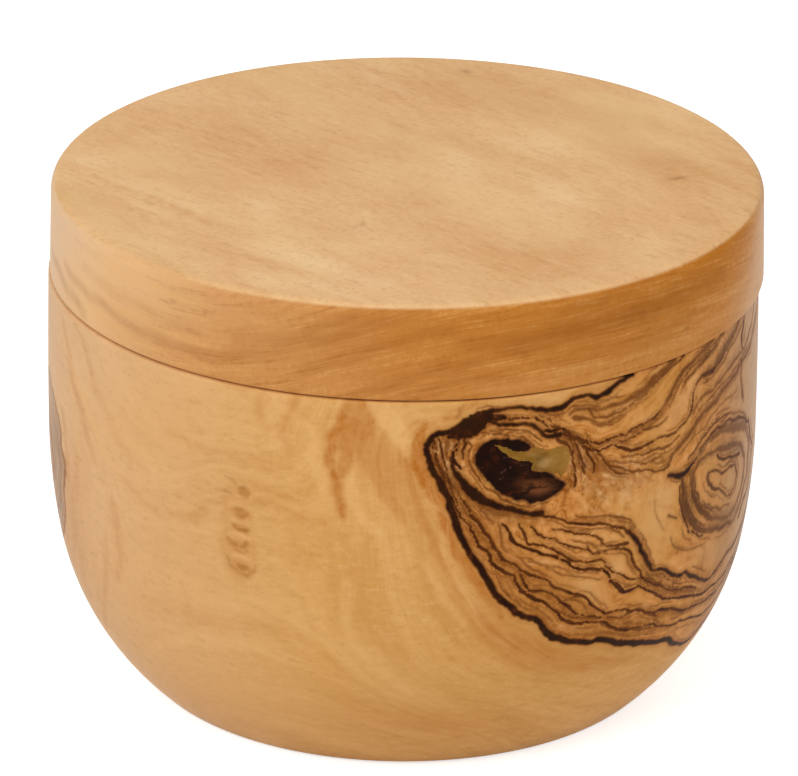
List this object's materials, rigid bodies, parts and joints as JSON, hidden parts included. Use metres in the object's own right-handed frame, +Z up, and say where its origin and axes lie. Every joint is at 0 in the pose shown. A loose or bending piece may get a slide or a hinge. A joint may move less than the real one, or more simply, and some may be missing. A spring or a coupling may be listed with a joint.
{
  "type": "salt box",
  "caption": "Round turned olive-wood salt box with a flat lid that swings sideways on an upright pin at the back and is held shut by magnets.",
  "frame": {"origin": "centre of the flat base, on the surface the box stands on", "axes": "+Z up along the bowl's turning axis; the pin is at +Y (back) and the magnets are at -Y (front); +X is to the right seen from the front"},
  "size_m": [0.1009, 0.1008, 0.0733],
  "materials": {
    "bowl_wood": "satin, oiled olive wood with dark figure",
    "lid_wood": "satin, oiled olive wood, plain straw figure",
    "knot_resin": "cast resin, sanded flush",
    "pin_steel": "ground stainless steel",
    "nylon": "natural nylon",
    "magnet_nickel": "nickel plated"
  },
  "bodies": {
    "bowl_body": {"bowl": "bowl_wood", "knot_fill": "knot_resin", "pivot_pin": "pin_steel", "pivot_washer": "nylon", "bowl_magnet": "magnet_nickel"},
    "lid_body": {"lid": "lid_wood", "pivot_bush": "nylon", "lid_magnet": "magnet_nickel"}
  },
  "joints": [
    {"name": "lid_swivel", "type": "hinge", "parent": "bowl_body", "child": "lid_body", "pos_m": [0, 0.04475, 0.0598], "axis": [0, 0, 1], "continuous": true}
  ]
}
